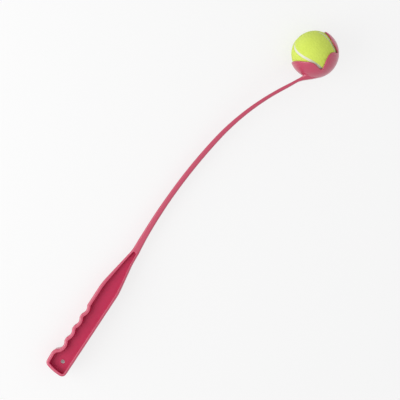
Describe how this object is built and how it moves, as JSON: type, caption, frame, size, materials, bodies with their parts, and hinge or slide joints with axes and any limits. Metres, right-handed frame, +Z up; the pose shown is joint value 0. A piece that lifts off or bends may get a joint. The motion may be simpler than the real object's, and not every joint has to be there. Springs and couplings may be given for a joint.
{
  "type": "dog ball launcher",
  "caption": "Throwing stick with a finger-grooved grip, a long bowed arm and a fingered cup that snaps over a felt ball.",
  "frame": {"origin": "middle of the bounding box's bottom, on the surface that the launcher lies on with its ball in the cup", "axes": "+X from the butt of the grip to the cup, along the longest extent; +Y is the side that the arm bows to and that the cup opens to; +Z up, the shortest extent. The launcher rests on its ball, the heel of its grip and its shoulder, so the normal of the arm's bend leans 27 degrees from Z towards +Y"},
  "size_m": [0.638, 0.0696, 0.0693],
  "materials": {
    "launcher_plastic": "crimson polypropylene, moulded with a soft gloss",
    "core_rubber": "moulded black rubber",
    "ball_felt": "napped yellow-green wool and nylon felt",
    "seam_rubber": "off-white cured rubber"
  },
  "bodies": {
    "launcher": {"launcher": "launcher_plastic"},
    "ball": {"core_half_a": "core_rubber", "core_half_b": "core_rubber", "felt_panel_a": "ball_felt", "felt_panel_b": "ball_felt", "ball_seam": "seam_rubber"}
  },
  "joints": [
    {"name": "ball_release", "type": "slide", "parent": "launcher", "child": "ball", "axis": [0.1377, 0.8836, -0.4476], "range_m": [0, 0.07], "deforming": ["felt_panel_a", "felt_panel_b", "ball_seam"]}
  ]
}
